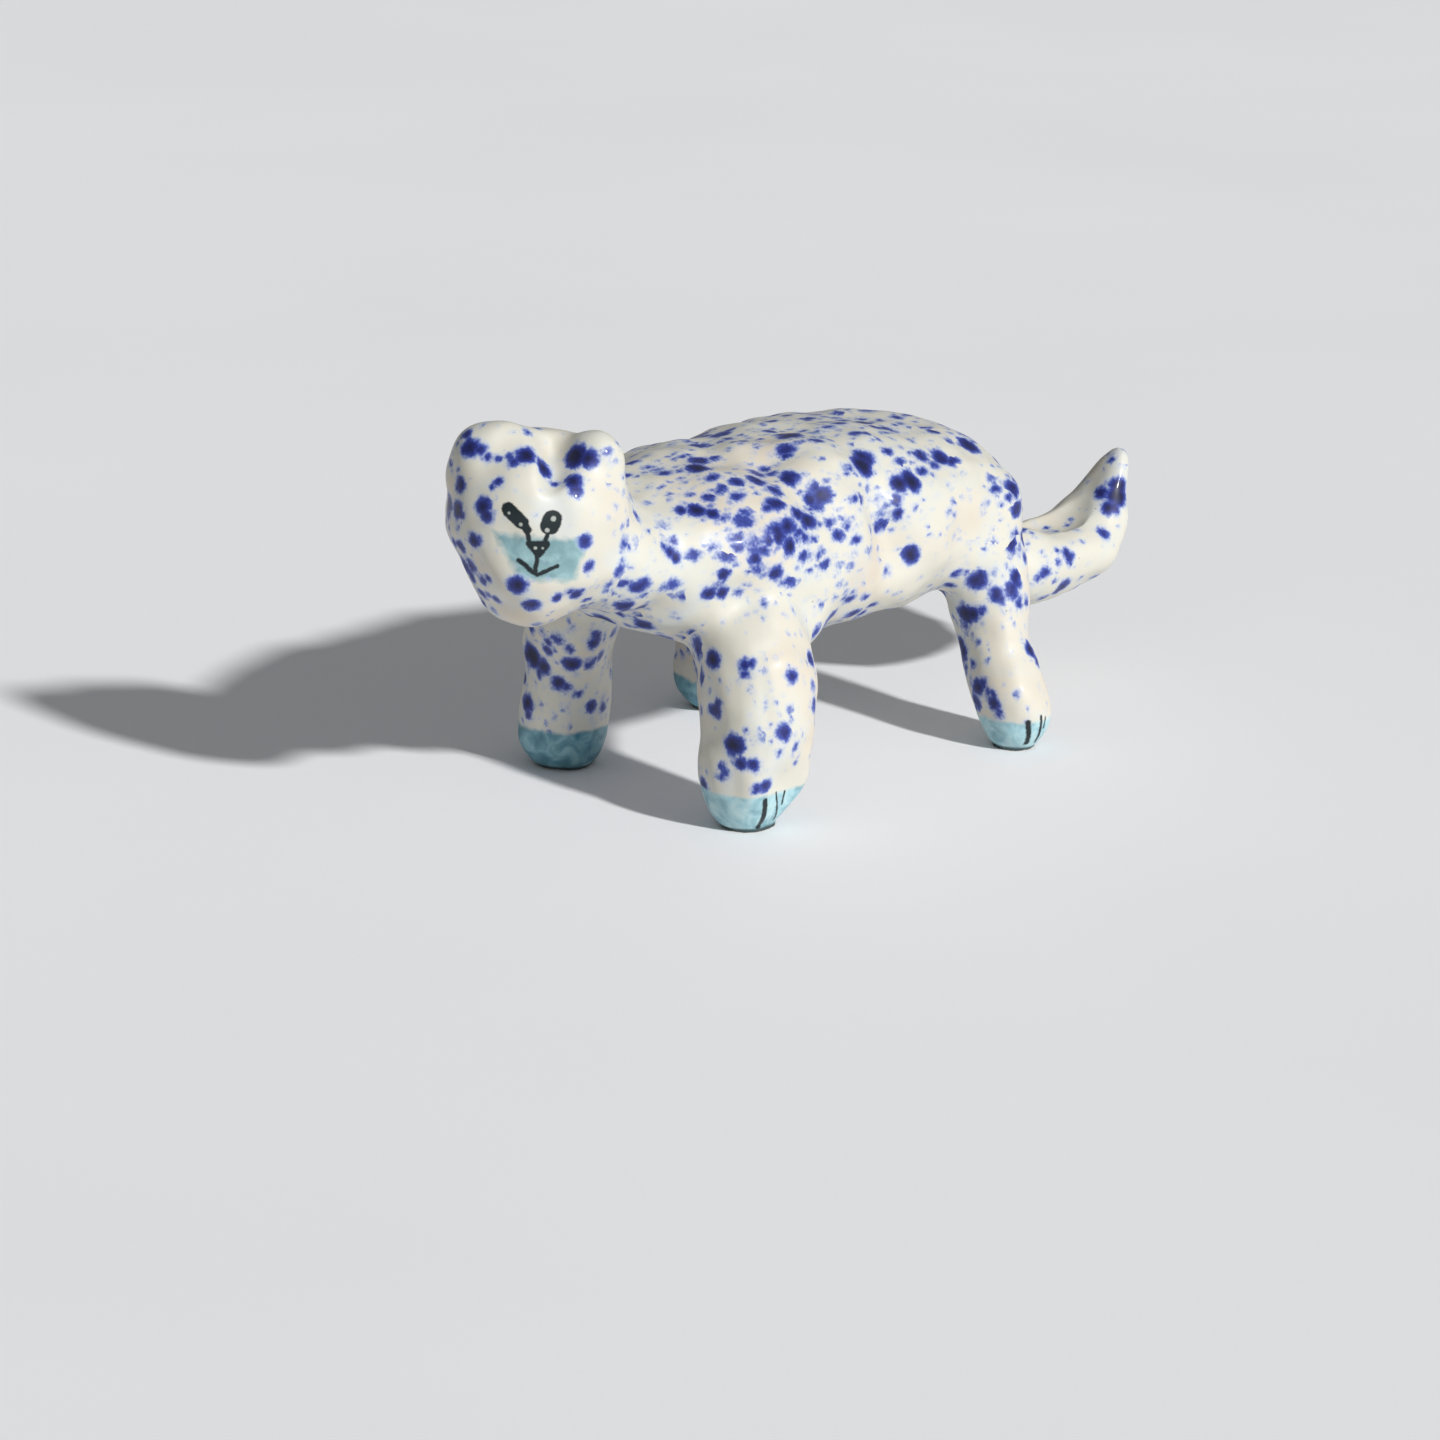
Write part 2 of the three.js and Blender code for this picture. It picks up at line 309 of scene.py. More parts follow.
# Places on the face are millimetres to the cat's left and up from the middle of the head.
head_low, head_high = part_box("head")
head_middle = (Vector(head_low) + Vector(head_high)) / 2
FACE_TURN = math.radians(43)
FACE_TILT = math.radians(5)
face_ahead = Vector((-math.cos(FACE_TURN), -math.sin(FACE_TURN), 0))
face_up = Matrix.Rotation(-FACE_TILT, 3, face_ahead) @ Vector((0, 0, 1))
face_left = face_up.cross(face_ahead)

# Groups of dabs on the face: how far left and up, then reach, largest radius and how many as above.
FACE_DABS = (
    # right cheek, from the ear down to the jaw
    (-12, 14, 2, 1.7, 2), (-13, 8, 1, 1.3, 1), (-13, 4, 2, 1.6, 2), (-9, 6, 2, 1.5, 2),
    (-7, 10, 1, 0.7, 2), (-9, 13, 2, 0.7, 3), (-10, 0, 0, 1.3, 1), (-12, -2, 3, 1.1, 2),
    (-10, -5, 0, 1.2, 1), (-11, -8, 2, 1, 2), (-8, -7, 2, 0.8, 2),
    # brow
    (-3, 14, 2, 1.8, 2), (0, 12, 2, 1.7, 3), (2, 10, 1, 0.7, 1), (-5, 13, 1, 0.9, 2),
    # left ear
    (5, 14, 2, 2.2, 3), (7, 14, 0, 1.6, 1), (5, 11, 2, 1.6, 3),
    # chin
    (-2.5, -6, 0, 1.7, 1), (0, -9.5, 2, 1.4, 2), (-5.5, -10, 2, 0.8, 2),
    # left cheek and jaw
    (7.6, 1.8, 0, 1.2, 1), (8.6, -2.5, 0, 0.9, 1), (7, -7.6, 2, 1.2, 2), (4, -8, 1, 0.9, 1),
)
CLEAR_OF_FACE = 30 * mm  # starts a ray outside the head


def on_face(left, up):
    """The place on the skin where a brush from straight ahead meets the face, in millimetres."""
    start = head_middle + (left * face_left + up * face_up) * mm + face_ahead * CLEAR_OF_FACE
    found = skin_tree.ray_cast(start, -face_ahead)[0]
    return found / mm


chance = np.random.default_rng(5)  # one fixed seed, so that every run dabs alike
SMALLER = (0.5, 0.85)  # radius of a group's other dabs, as a share of its largest


def dab_group(middle, reach, largest, count):
    """Dabs on the skin as place and radius: the largest in the middle, the rest by chance round it."""
    group = [(*middle, largest)]
    for _ in range(count - 1):
        aim = Vector(middle) + Vector(chance.uniform(-1, 1, 3)) * reach
        landed = skin_tree.find_nearest(aim * mm)[0] / mm
        group.append((*landed, largest * chance.uniform(*SMALLER)))
    return group


DABS = []
for *middle, reach, largest, count in BODY_DABS:
    DABS += dab_group(middle, reach, largest, count)
for left, up, reach, largest, count in FACE_DABS:
    DABS += dab_group(on_face(left, up), reach, largest, count)

# ---- Torso ----------------------------------------------------------------------------------------
# A pinched-out barrel of stoneware, vented under the belly. The other lumps are slipped on to it. It
# has the glaze of the whole cat: milky cream, over cobalt that bleeds as the glaze melts.

CREAM = "#cfccbf"
CREAM_WARM = "#cfc1ae"
CREAM_COOL = "#c8ccc9"
HALO = "#a9b9d8"
COBALT_PALE = "#697db8"
COBALT = "#3a4a99"
COBALT_DEEP = "#20286e"
COBALT_POOLED = "#11153c"
PINHOLE = "#7d7a74"

# Chance drops: the cell that each falls in and the largest radius, both in millimetres, and the
# share of the load that makes them fall. The smaller ones are shifted aside from the large.
LARGE_DROPS = (4.2, 1.7, 0.8)
SMALLER_DROPS = (((31, 7, 13), (2.7, 1.0, 0.8)), ((5, 17, 41), (1.6, 0.5, 0.6)))
DROP_GROWTH = 2.2  # how soon a drop reaches its largest radius, once it falls


def linear(shade):
    """An sRGB hex value as the linear colour a shader takes."""
    parts = [int(shade[i:i + 2], 16) / 255 for i in (1, 3, 5)]
    return (*[p / 12.92 if p <= 0.04045 else ((p + 0.055) / 1.055) ** 2.4 for p in parts], 1)


def add(tree, kind, inputs=(), out=0, stops=(), **settings):
    """Adds a node and returns one of its outputs. inputs are values or links, in order or by name,
    settings its properties, and stops a colour ramp's places with their colours or greys."""
    made = tree.nodes.new("ShaderNode" + kind)
    for setting, value in settings.items():
        setattr(made, setting, value)
    for socket, value in (inputs if isinstance(inputs, dict) else dict(enumerate(inputs))).items():
        if isinstance(value, bpy.types.NodeSocket):
            tree.links.new(value, made.inputs[socket])
        else:
            made.inputs[socket].default_value = value
    for i, (where, shade) in enumerate(stops):
        if i >= len(made.color_ramp.elements):
            made.color_ramp.elements.new(where)
        stop = made.color_ramp.elements[i]
        stop.position = where
        stop.color = linear(shade) if isinstance(shade, str) else (shade, shade, shade, 1)
    return made.outputs[out] if made.outputs else made


def painted(tree, cover, colour, paint):
    """Paint laid over a colour: cover is how much of it, paint a link or an sRGB hex value."""
    paint = linear(paint) if isinstance(paint, str) else paint
    return add(tree, "Mix", {0: cover, 6: colour, 7: paint}, out=2, data_type="RGBA")


def drops(tree, place, load, cell, biggest, share):
    """Depth inside drops of cobalt in millimetres, below 0 outside them. A cell has a drop where the
    load times its share, with the cell's own luck of 0 to 1 added, passes 1."""
    cells = {"Vector": place, "Scale": 1 / cell}
    field = add(tree, "TexVoronoi", cells, out="Distance")
    colour = add(tree, "TexVoronoi", cells, out="Color")
    luck = add(tree, "SeparateColor", [colour])
    falls = add(tree, "Math", [load, share, luck], operation="MULTIPLY_ADD")
    growth = DROP_GROWTH * biggest
    swell = add(tree, "Math", [falls, growth, -growth], operation="MULTIPLY_ADD")
    radius = add(tree, "Math", [swell, biggest], operation="MINIMUM")
    return add(tree, "Math", [field, -cell, radius], operation="MULTIPLY_ADD")


def speckle(tree, place, colour, run):
    """Cobalt over a colour: chance drops of three sizes where cobalt_load is high, and the dabs.
    run is below 1 along the axis that the drops are drawn out along."""
    # The load, uneven in patches about 13 mm wide.
    load = add(tree, "Attribute", out="Fac", attribute_name="cobalt_load")
    patches = add(tree, "TexNoise", {"Vector": place, "Scale": 1 / 13, "Detail": 1})
    load = add(tree, "Math", [patches, 1.6, load], operation="MULTIPLY_ADD")
    load = add(tree, "Math", [load, 0.8], operation="SUBTRACT", use_clamp=True)
    # Drops land out of round, and those that touch run together.
    wander = add(tree, "TexNoise", {"Vector": place, "Scale": 1 / 1.7, "Detail": 2}, out="Color")
    torn = add(tree, "VectorMath", [wander, (1.6, 1.6, 1.6), place], operation="MULTIPLY_ADD")
    torn = add(tree, "VectorMath", [torn, run], operation="MULTIPLY")
    depth = drops(tree, torn, load, *LARGE_DROPS)
    for aside, sizes in SMALLER_DROPS:
        elsewhere = add(tree, "VectorMath", [torn, aside], operation="ADD")
        more = drops(tree, elsewhere, load, *sizes)
        depth = add(tree, "Math", [depth, more], operation="MAXIMUM")
    # The dabs, their edges ragged by up to a millimetre.
    dabs = add(tree, "Attribute", out="Fac", attribute_name="cobalt_dabs")
    edge = add(tree, "TexNoise", {"Vector": place, "Scale": 1 / 1.4, "Detail": 2})
    dabs = add(tree, "Math", [edge, 1.4, dabs], operation="MULTIPLY_ADD")
    dabs = add(tree, "Math", [dabs, 0.58], operation="SUBTRACT")
    depth = add(tree, "Math", [depth, dabs, 0.5], operation="SMOOTH_MAX")
    # Grains of cobalt show at the edge, where the blue bleeds from a pale halo to a pooled middle.
    grain = add(tree, "TexNoise", {"Vector": place, "Scale": 1 / 0.5, "Detail": 2})
    depth = add(tree, "Math", [grain, 0.7, depth], operation="MULTIPLY_ADD")
    reach = add(tree, "MapRange", [depth, -0.4, 1.9])
    cover = add(tree, "ValToRGB", [reach], stops=[(0, 0.0), (0.16, 0.3), (0.33, 0.8), (0.46, 1.0)])
    blue = add(tree, "ValToRGB", [reach], stops=[
        (0.15, HALO), (0.33, COBALT_PALE), (0.46, COBALT), (0.66, COBALT_DEEP), (1, COBALT_POOLED)])
    return painted(tree, cover, colour, blue)


def glazed_stoneware(name, run, under=None, over=None):
    """Hand-glazed stoneware, fired satin. under and over are painters that work below and above the
    cobalt. Patterns are in millimetres: place is the piece's own metres times a thousand."""
    material = bpy.data.materials.new(name)
    material.use_nodes = True
    tree = material.node_tree
    tree.nodes.clear()
    where = add(tree, "TexCoord", out="Object")
    place = add(tree, "VectorMath", [where, (1 / mm, 1 / mm, 1 / mm)], operation="MULTIPLY")
    # Milky cream: the clay warms it where the glaze is thin, and it is cooler where it lies thick.
    broad = add(tree, "TexNoise", {"Vector": place, "Scale": 1 / 19, "Detail": 2})
    warm = add(tree, "ValToRGB", [broad], stops=[(0.5, 0.0), (0.72, 0.75)])
    colour = painted(tree, warm, linear(CREAM), CREAM_WARM)
    milky = add(tree, "TexNoise", {"Vector": place, "Scale": 1 / 11, "Detail": 2, "Distortion": 1})
    cool = add(tree, "ValToRGB", [milky], stops=[(0.5, 0.0), (0.75, 0.8)])
    colour = painted(tree, cool, colour, CREAM_COOL)
    if under:
        colour = under(tree, place, colour)
    colour = speckle(tree, place, colour, run)
    if over:
        colour = over(tree, place, colour)
    # Gas leaves a pinhole here and there, about 0.3 mm wide, and the glaze sets like orange peel.
    pits = add(tree, "TexVoronoi", {"Vector": place, "Scale": 1 / 5.5}, out="Distance")
    pit = add(tree, "Math", [pits, 0.03], operation="LESS_THAN")
    shade = add(tree, "Math", [pit, 0.7], operation="MULTIPLY")
    colour = painted(tree, shade, colour, PINHOLE)
    orange_peel = add(tree, "TexNoise", {"Vector": place, "Scale": 1 / 1.6, "Detail": 1})
    height = add(tree, "Math", [orange_peel, pit], operation="SUBTRACT")
    bump = add(tree, "Bump", {"Height": height, "Strength": 0.25, "Distance": 0.08 * mm})
    # Satin, with a thin clear layer that gives the sun a small, sharp glint.
    wear = add(tree, "TexNoise", {"Vector": place, "Scale": 1 / 7, "Detail": 2})
    rough = add(tree, "MapRange", [wear, 0, 1, 0.38, 0.6])
    shader = add(tree, "BsdfPrincipled", {
        "Base Color": colour, "Roughness": rough, "Normal": bump, "Specular IOR Level": 0.35,
        "Coat Weight": 0.16, "Coat Roughness": 0.1,
    })
    add(tree, "OutputMaterial", [shader])
    return material


TOUCHING = 1e-7  # metres: keeps a share finite where a point lies on a corner
BARE = -3.0  # millimetres: the depth that is stored where no dab is near


def keep_skin_normals(piece):
    """Shades a piece as it was in the whole skin, so that no joint shows. Cut faces stay flat."""
    mesh = piece.data
    mesh.shade_smooth()
    at_point = []
    for point in mesh.vertices:
        face = skin_tree.find_nearest(point.co)[2]
        corners = [skin.data.vertices[i] for i in skin.data.polygons[face].vertices]
        shares = [1 / ((corner.co - point.co).length + TOUCHING) for corner in corners]
        blended = sum((corner.normal * share for corner, share in zip(corners, shares)), Vector())
        at_point.append(blended.normalized())
    normals = []
    for polygon in mesh.polygons:
        cut = polygon.material_index == CUT_FACE
        normals += [polygon.normal if cut else at_point[i] for i in polygon.vertices]
    mesh.polygons.foreach_set("material_index", np.zeros(len(mesh.polygons), np.int32))
    mesh.normals_split_custom_set(normals)


def finish_piece(lump, glaze):
    """Stores how much cobalt each point of a piece carries, and glazes it in its lump's place."""
    piece = pieces[lump]
    keep_skin_normals(piece)
    places = points(piece.data) / mm
    carried = np.zeros(len(places))
    for middle, reach, change in COBALT_LOAD:
        away = np.linalg.norm(places - middle, axis=1) / reach
        carried += change * np.clip(LOAD_FADES - away, 0, 1)
    deep = np.full(len(places), BARE)
    for *middle, radius in DABS:
        deep = np.maximum(deep, radius - np.linalg.norm(places - middle, axis=1))
    for name, values in (("cobalt_load", carried), ("cobalt_dabs", deep)):
        piece.data.attributes.new(name, "FLOAT", "POINT").data.foreach_set("value", values)
    piece.data.materials.clear()
    piece.data.materials.append(glaze)
    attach(piece, "root")
    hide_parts(lump)


VENT_RADIUS = 1.5 * mm
VENT_SIDES = 32
VENT_MIDDLE = Vector((-10.5, -0.3, 24)) * mm  # where it comes out of the belly
VENT_DEPTH = 8 * mm  # deeper than the 6 mm wall, and closed there, since the hollow isn't drawn

drill = bmesh.new()
bmesh.ops.create_cone(
    drill, cap_ends=True, segments=VENT_SIDES, radius1=VENT_RADIUS, radius2=VENT_RADIUS,
    depth=2 * VENT_DEPTH, matrix=Matrix.Translation(VENT_MIDDLE)
)
vent = finished(drill, "vent")
mark_as_cut(vent)
work(pieces["torso"], "BOOLEAN", operation="DIFFERENCE", object=vent, solver="MANIFOLD")
bpy.data.objects.remove(vent)
work(pieces["torso"], "TRIANGULATE")

# The brush was flicked along the cat, so the drops are drawn out along x.
ALONG_THE_BODY = (0.62, 1, 1)

# Cream glaze brushed on stoneware and fired satin: soft highlights, and cobalt blurred at its edge.
cream_glaze = glazed_stoneware("stoneware_cream_glazed", ALONG_THE_BODY)
finish_piece("torso", cream_glaze)

# ---- Head -----------------------------------------------------------------------------------------
# A ball of clay with a thumb groove down the brow, slipped on to the torso and turned to the cat's
# left. The eyes, nose and mouth are drawn with a liner brush, over a turquoise patch on the muzzle.

INK = "#101d21"
PALE_SLIP = "#b4bab2"
MUZZLE_TURQUOISE = ("#5c868e", "#789fa6", "#8cb2b7")

# The strokes on the face: start and end, each left and up, and half width, in millimetres.
FACE_STROKES = (
    ((-5.0, 6.3), (-2.7, 4.5), 1.15),  # right eye
    ((-2.4, 4.3), (-1.7, 3.4), 0.7),
    ((1.75, 4.3), (2.1, 5.2), 1.55),  # left eye
    ((-1.7, 3.2), (-1.3, 1.6), 0.38),  # beside the nose
    ((1.5, 2.8), (1.3, 1.5), 0.38),
    ((-1.3, 1.1), (1.6, 1.3), 0.45),  # nose
    ((-1.2, 1.0), (0.4, -0.7), 0.5),
    ((1.6, 1.1), (0.4, -0.7), 0.5),
    ((0.15, 0.6), (0.4, -0.3), 0.75),
    ((0.2, -0.9), (0.1, -3.3), 0.36),
    ((-2.6, -1.8), (0.4, -3.9), 0.38),  # mouth
    ((0.4, -3.9), (3.5, -2.3), 0.34),
)

# Dots of pale slip in the strokes: left and up, and radius.
PALE_DOTS = (
    ((-4.8, 5.7), 0.2), ((-2.8, 4.1), 0.33), ((2.2, 5.4), 0.42), ((1.4, 3.5), 0.38),
    ((-0.2, 0.4), 0.28), ((1.0, 0.5), 0.18),
)

# The straight edges of the muzzle patch: direction left and up, and how far out the edge lies.
MUZZLE_EDGES = (
    ((0, 1, 0), 2.4),
    ((0, -1, 0), 5),
    ((-0.815, -0.579, 0), 4.7),
    ((0.98, -0.2, 0), 7.5),
)
PATCH_DEEPEST = 9.0  # more than the depth anywhere inside the edges
HAND_SHAKE = 0.4  # millimetres from side to side
FACE_STARTS = 2  # millimetres ahead of the middle of the head


def stroke(tree, flat, start, end, half_width):
    """Depth inside a brush stroke in millimetres, below 0 beside it."""
    start = Vector((*start, 0))
    along = Vector((*end, 0)) - start
    from_start = add(tree, "VectorMath", [flat, start], operation="SUBTRACT")
    share_of = along / along.length_squared
    share = add(tree, "VectorMath", [from_start, share_of], out="Value", operation="DOT_PRODUCT")
    share = add(tree, "Math", [share, 0], operation="ADD", use_clamp=True)
    nearest = add(tree, "VectorMath", {0: along, "Scale": share}, operation="SCALE")
    beside = add(tree, "VectorMath", [from_start, nearest], out="Value", operation="DISTANCE")
    return add(tree, "Math", [half_width, beside], operation="SUBTRACT")


def brushed(tree, place, flat, strokes):
    """How much paint a set of strokes leaves, from 0 to 1, with edges roughened by the brush."""
    depths = [stroke(tree, flat, *one) for one in strokes]
    deepest = depths[0]
    for depth in depths[1:]:
        deepest = add(tree, "Math", [deepest, depth], operation="MAXIMUM")
    skip = add(tree, "TexNoise", {"Vector": place, "Scale": 1 / 0.5, "Detail": 2})
    deepest = add(tree, "Math", [skip, 0.3, deepest], operation="MULTIPLY_ADD")
    return add(tree, "MapRange", [deepest, 0.02, 0.26])


def face_flat(tree, place):
    """A place flattened on to the face, as millimetres left and up with a slight shake of the hand,
    and whether it is on the front of the head."""
    from_middle = add(tree, "VectorMath", [place, head_middle / mm], operation="SUBTRACT")
    left = add(tree, "VectorMath", [from_middle, face_left], out="Value", operation="DOT_PRODUCT")
    up = add(tree, "VectorMath", [from_middle, face_up], out="Value", operation="DOT_PRODUCT")
    flat = add(tree, "CombineXYZ", [left, up, 0])
    shake = add(tree, "TexNoise", {"Vector": place, "Scale": 1 / 1.5, "Detail": 1}, out="Color")
    wide = (HAND_SHAKE, HAND_SHAKE, 0)
    flat = add(tree, "VectorMath", [shake, wide, flat], operation="MULTIPLY_ADD")
    flat = add(tree, "VectorMath", [flat, Vector(wide) / 2], operation="SUBTRACT")
    ahead = add(tree, "VectorMath", [from_middle, face_ahead], out="Value", operation="DOT_PRODUCT")
    in_front = add(tree, "Math", [ahead, FACE_STARTS], operation="GREATER_THAN")
    return flat, in_front


def turquoise(tree, place, shades):
    """Thin turquoise underglaze in three shades, mottled where the brush left it thick or thin."""
    mottle = add(tree, "TexNoise", {"Vector": place, "Scale": 1 / 2.6, "Detail": 4, "Distortion": 0.6})
    return add(tree, "ValToRGB", [mottle], stops=list(zip((0.28, 0.5, 0.68), shades)))


def muzzle_patch(tree, place, colour):
    """The turquoise patch on the muzzle, brushed up to its four edges with a ragged border."""
    flat, in_front = face_flat(tree, place)
    inside = PATCH_DEEPEST
    for outwards, edge in MUZZLE_EDGES:
        out_by = add(tree, "VectorMath", [flat, outwards], out="Value", operation="DOT_PRODUCT")
        to_edge = add(tree, "Math", [edge, out_by], operation="SUBTRACT")
        inside = add(tree, "Math", [to_edge, inside], operation="SMOOTH_MIN")
    ragged = add(tree, "TexNoise", {"Vector": place, "Scale": 1 / 1.6, "Detail": 2})
    inside = add(tree, "Math", [ragged, 1.6, inside], operation="MULTIPLY_ADD")
    cover = add(tree, "MapRange", [inside, 0.4, 1.6, 0, 0.92])
    cover = add(tree, "Math", [cover, in_front], operation="MULTIPLY")
    return painted(tree, cover, colour, turquoise(tree, place, MUZZLE_TURQUOISE))


def painted_face(tree, place, colour):
    """The eyes, nose and mouth, with pale dots of slip left in them."""
    flat, in_front = face_flat(tree, place)
    ink = brushed(tree, place, flat, FACE_STROKES)
    ink = add(tree, "Math", [ink, in_front], operation="MULTIPLY")
    colour = painted(tree, ink, colour, INK)
    for middle, radius in PALE_DOTS:
        away = add(tree, "VectorMath", [flat, (*middle, 0)], out="Value", operation="DISTANCE")
        dot = add(tree, "MapRange", [away, radius - 0.1, radius + 0.1, 0.8, 0])
        dot = add(tree, "Math", [dot, in_front], operation="MULTIPLY")
        colour = painted(tree, dot, colour, PALE_SLIP)
    return colour


# Drops on the face ran down it a little.
DOWN_THE_FACE = (1, 1, 0.8)

# The cream glaze, with thin turquoise brushed on below the cobalt and dark liner strokes above it.
face_glaze = glazed_stoneware("stoneware_face_underglazed", DOWN_THE_FACE, muzzle_patch, painted_face)
finish_piece("head", face_glaze)

# ---- Ears -----------------------------------------------------------------------------------------
# Two small lumps pressed on to the crown and rounded over with a fingertip. Their glaze is the
# torso's, with more cobalt dabbed on the outer edge of each.

for ear in ("right_ear", "left_ear"):
    finish_piece(ear, cream_glaze)

# ---- Legs -----------------------------------------------------------------------------------------
# Four rolls of clay slipped on to the torso, their ends pressed flat for the cat to stand. The paws are
# brushed turquoise to an uneven line, the toes inked on the outer side, and the soles wiped bare.

BARE_CLAY = "#a89a86"
# Partly glaze pooled at the edge, partly painted contact shadow round the base of each paw.
FOOT_POOL_AND_CONTACT_SHADOW = "#26383b"
THIN_TURQUOISE = ("#6b9ba8", "#97c0c9", "#b3d1d4")
# The right paws' shades are darker partly for thicker paint and partly as painted shade, for the side
# away from the sun.
DEEP_TURQUOISE_AND_PAINTED_SHADE = ("#2f6f83", "#568fa0", "#83b3be")

# The toe strokes of each paw: start and end as x and z in millimetres, and half width.
TOES = {
    "front_left_leg": (((-40.4, 6.2), (-39.4, 1.0), 0.5), ((-37.5, 6.9), (-36.2, 1.6), 0.22),
                       ((-35.2, 6.6), (-35.6, 4.4), 0.2)),
    "rear_left_leg": (((23.4, 6.0), (24.3, 1.8), 0.4), ((25.9, 6.6), (26.1, 1.8), 0.3),
                      ((27.1, 6.2), (26.8, 4.4), 0.18)),
    "front_right_leg": (((-38.2, 6.2), (-38.6, 1.2), 0.38), ((-35.4, 6.8), (-35.2, 1.8), 0.26),
                        ((-33.2, 6.4), (-33.4, 4.2), 0.2)),
    "rear_right_leg": (((4.6, 6.0), (5.2, 1.6), 0.38), ((7.2, 6.4), (7.3, 1.8), 0.28),
                       ((9.2, 6.1), (9.0, 4.2), 0.2)),
}
# How high the turquoise comes on each paw, in millimetres.
PAW_LINE = {"front_left_leg": 7.2, "front_right_leg": 7.4, "rear_left_leg": 6.2, "rear_right_leg": 6.4}
LINE_WANDERS = 2.5  # millimetres up and down in all
DOWN_THE_LEG = (1, 1, 0.75)  # drops on the legs ran down them


def painted_paw(leg):
    """The painter of one leg's turquoise, toe strokes and bare sole."""
    # The right paws take the darker turquoise: thicker paint, and painted shade for the side away from
    # the sun.
    shades = DEEP_TURQUOISE_AND_PAINTED_SHADE if "right" in leg else THIN_TURQUOISE
    low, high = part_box(leg)
    leg_middle = (low[1] + high[1]) / 2 / mm
    outwards = "LESS_THAN" if leg_middle < 0 else "GREATER_THAN"

    def paint(tree, place, colour):
        height = add(tree, "SeparateXYZ", [place], out="Z")
        uneven = add(tree, "TexNoise", {"Vector": place, "Scale": 1 / 6, "Detail": 3})
        lowest = PAW_LINE[leg] - LINE_WANDERS / 2
        line = add(tree, "Math", [uneven, LINE_WANDERS, lowest], operation="MULTIPLY_ADD")
        under_line = add(tree, "Math", [line, height], operation="SUBTRACT")
        cover = add(tree, "MapRange", [under_line, -0.2, 0.5, 0, 0.93])
        colour = painted(tree, cover, colour, turquoise(tree, place, shades))
        side = add(tree, "SeparateXYZ", [place], out="Y")
        outer = add(tree, "Math", [side, leg_middle], operation=outwards)
        flat = add(tree, "CombineXYZ", [add(tree, "SeparateXYZ", [place], out="X"), height, 0])
        ink = brushed(tree, place, flat, TOES[leg])
        ink = add(tree, "Math", [ink, outer], operation="MULTIPLY")
        colour = painted(tree, ink, colour, INK)
        # A dark band just above the sole, partly glaze pooled at the edge and partly painted contact
        # shadow where the paw stands on the table; under it, the wiped clay.
        pool_and_contact_shadow = add(tree, "MapRange", [height, 0.5, 0.9, 0.9, 0])
        colour = painted(tree, pool_and_contact_shadow, colour, FOOT_POOL_AND_CONTACT_SHADOW)
        sole = add(tree, "MapRange", [height, 0.05, 0.12, 1, 0])
        return painted(tree, sole, colour, BARE_CLAY)

    return paint


# The cream glaze, with turquoise brushed on above the cobalt: thin and pale on the left paws, and
# thick and deep on the right, partly for thicker paint and partly as painted shade on the cat's
# side away from the sun; mottled by the brush.
for leg in TOES:
    name = "stoneware_paw_underglazed_" + leg
    paw_glaze = glazed_stoneware(name, DOWN_THE_LEG, over=painted_paw(leg))
    finish_piece(leg, paw_glaze)

# ---- Tail -----------------------------------------------------------------------------------------
# A flattened roll with a thumb gutter along its upper face, slipped on to the rump and curled up at
# the end. The largest dabs of cobalt are on the curl.

GLAZE_BREAK = "#7d6a3c"
LIP_WIDTH = 2  # millimetres


def broken_lip(tree, place, colour):
    """The right lip of the gutter, where the glaze ran thin and broke to brown."""
    lip_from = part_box("tail")[1][1] / mm - LIP_WIDTH
    side = add(tree, "SeparateXYZ", [place], out="Y")
    patchy = add(tree, "TexNoise", {"Vector": place, "Scale": 1 / 3, "Detail": 2})
    side = add(tree, "Math", [patchy, 2, side], operation="MULTIPLY_ADD")
    cover = add(tree, "MapRange", [side, lip_from + 0.6, lip_from + 2.2, 0, 0.45])
    return painted(tree, cover, colour, GLAZE_BREAK)


# The cream glaze, stained brown where it broke on the lip.
tail_glaze = glazed_stoneware("stoneware_tail_glazed", ALONG_THE_BODY, broken_lip)
finish_piece("tail", tail_glaze)
bpy.data.objects.remove(skin)

# ---- Floor, light and camera ----------------------------------------------------------------------
# A pale card to stand on, a low sun from the cat's left for the long soft-edged shadows, and a pale
# room all round.

FLOOR_HALF_WIDTH = 3

floor_card = bmesh.new()
bmesh.ops.create_grid(floor_card, x_segments=1, y_segments=1, size=FLOOR_HALF_WIDTH)
floor = finished(floor_card, "floor")

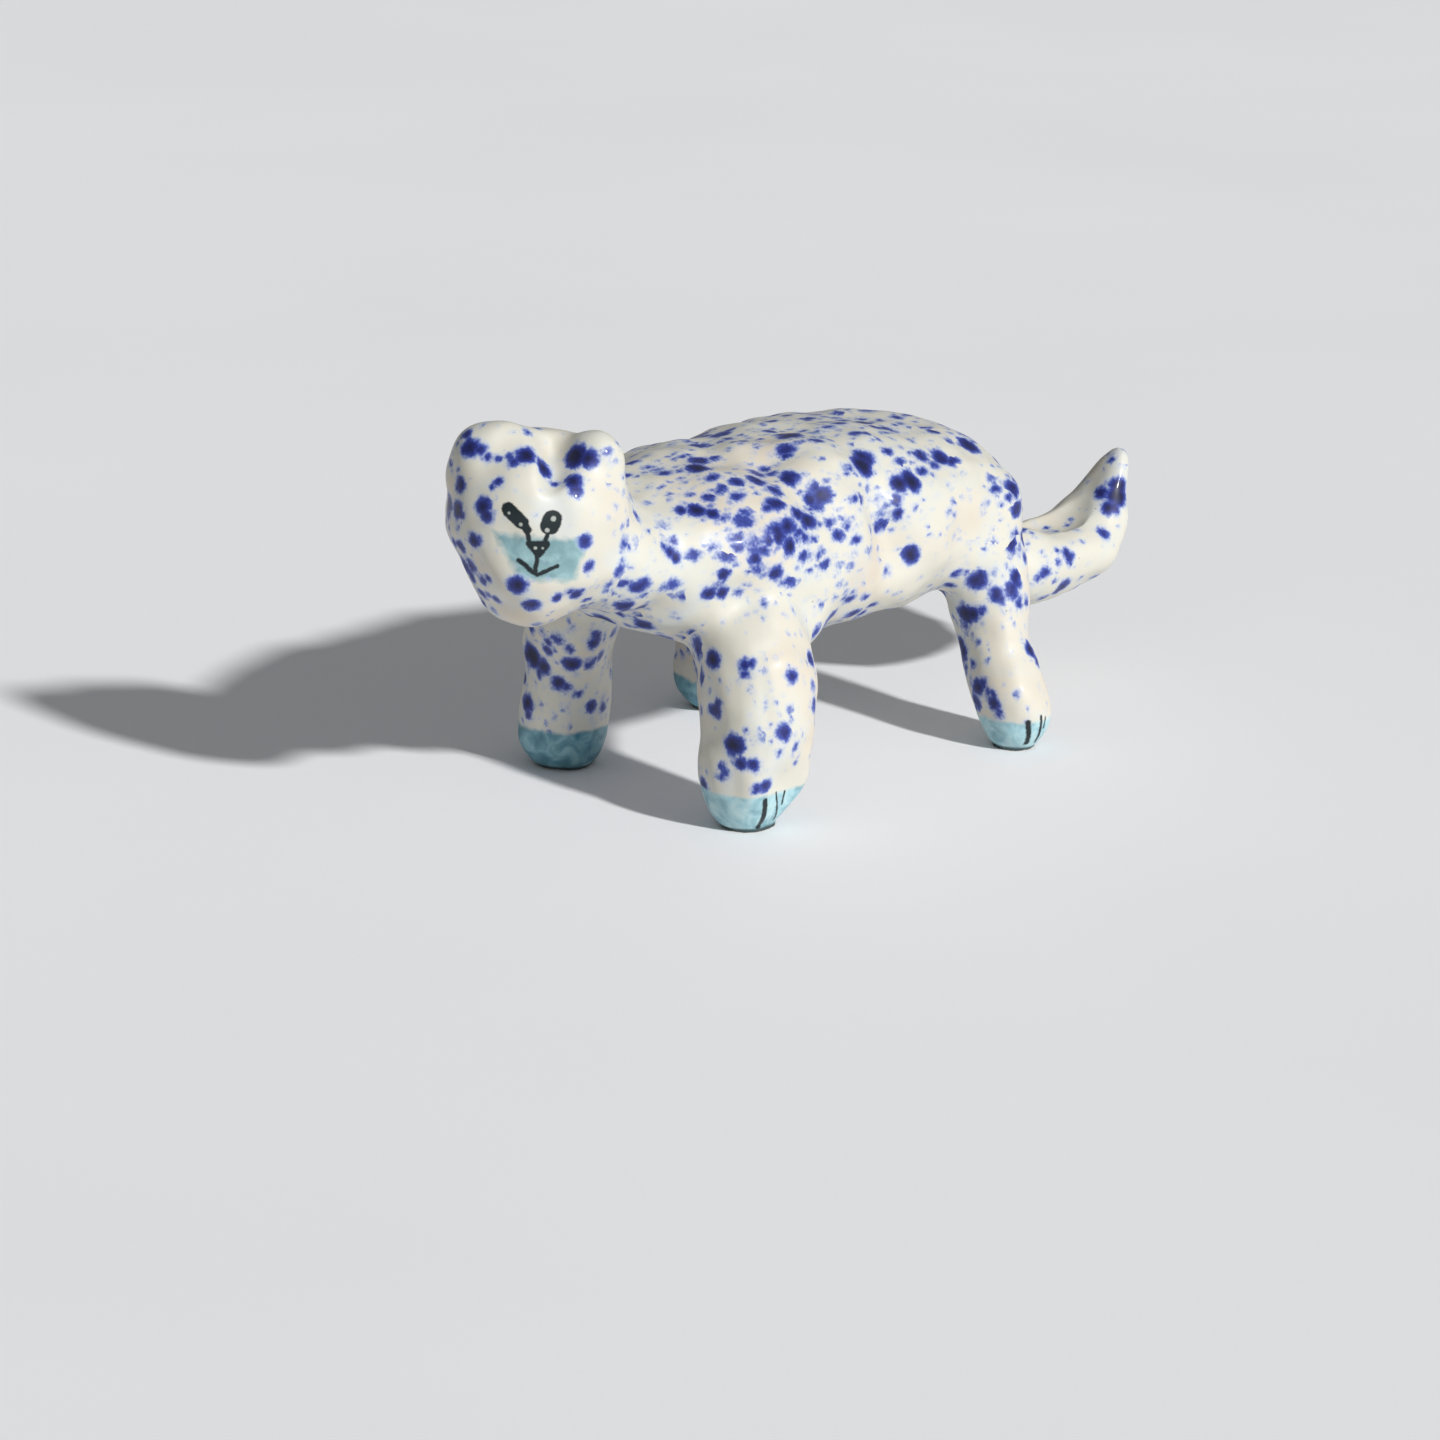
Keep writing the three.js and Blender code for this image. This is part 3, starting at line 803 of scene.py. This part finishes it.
# Matt white card with the faintest clouding, so that the floor isn't one dead tone.
card = bpy.data.materials.new("pale_matt_card")
card.use_nodes = True
card.node_tree.nodes.clear()
where = add(card.node_tree, "TexCoord", out="Object")
tone = add(card.node_tree, "TexNoise", {"Vector": where, "Scale": 6, "Detail": 3})
shade = add(card.node_tree, "ValToRGB", [tone], stops=[(0.3, "#f3f3f4"), (0.7, "#f6f6f7")])
surface = add(card.node_tree, "BsdfPrincipled", {"Base Color": shade, "Roughness": 0.7})
add(card.node_tree, "OutputMaterial", [surface])
floor.data.materials.append(card)

SUN_HEIGHT = math.radians(31)
sun = bpy.data.lights.new("sun", "SUN")
sun.energy = 3.6
sun.angle = math.radians(3.5)
sun_stand = bpy.data.objects.new("sun", sun)
bpy.context.scene.collection.objects.link(sun_stand)
sun_shines = Vector((0, math.cos(SUN_HEIGHT), -math.sin(SUN_HEIGHT)))
sun_stand.rotation_euler = sun_shines.to_track_quat("-Z", "Y").to_euler()

room = bpy.data.worlds.new("room")
room.use_nodes = True
bpy.context.scene.world = room
room.node_tree.nodes["Background"].inputs["Color"].default_value = (0.95, 0.97, 1, 1)
room.node_tree.nodes["Background"].inputs["Strength"].default_value = 0.23
bpy.context.scene.view_settings.view_transform = "Standard"

CAMERA_PLACE = (-0.63413, -0.55207, 0.27115)
VIEW_AZIMUTH = math.radians(-48.04)
VIEW_HEIGHT = math.radians(17.6)
VIEW_ROLL = math.radians(0.62)
camera = bpy.data.cameras.new("camera")
camera.lens = 127.6
camera.sensor_width = 36
camera_stand = bpy.data.objects.new("camera", camera)
bpy.context.scene.collection.objects.link(camera_stand)
flat_way = math.cos(VIEW_HEIGHT)
looks = Vector(
    (-math.sin(VIEW_AZIMUTH) * flat_way, math.cos(VIEW_AZIMUTH) * flat_way, -math.sin(VIEW_HEIGHT))
)
turn = looks.to_track_quat("-Z", "Y").to_matrix().to_4x4() @ Matrix.Rotation(VIEW_ROLL, 4, "Z")
camera_stand.matrix_world = Matrix.Translation(CAMERA_PLACE) @ turn
bpy.context.scene.camera = camera_stand
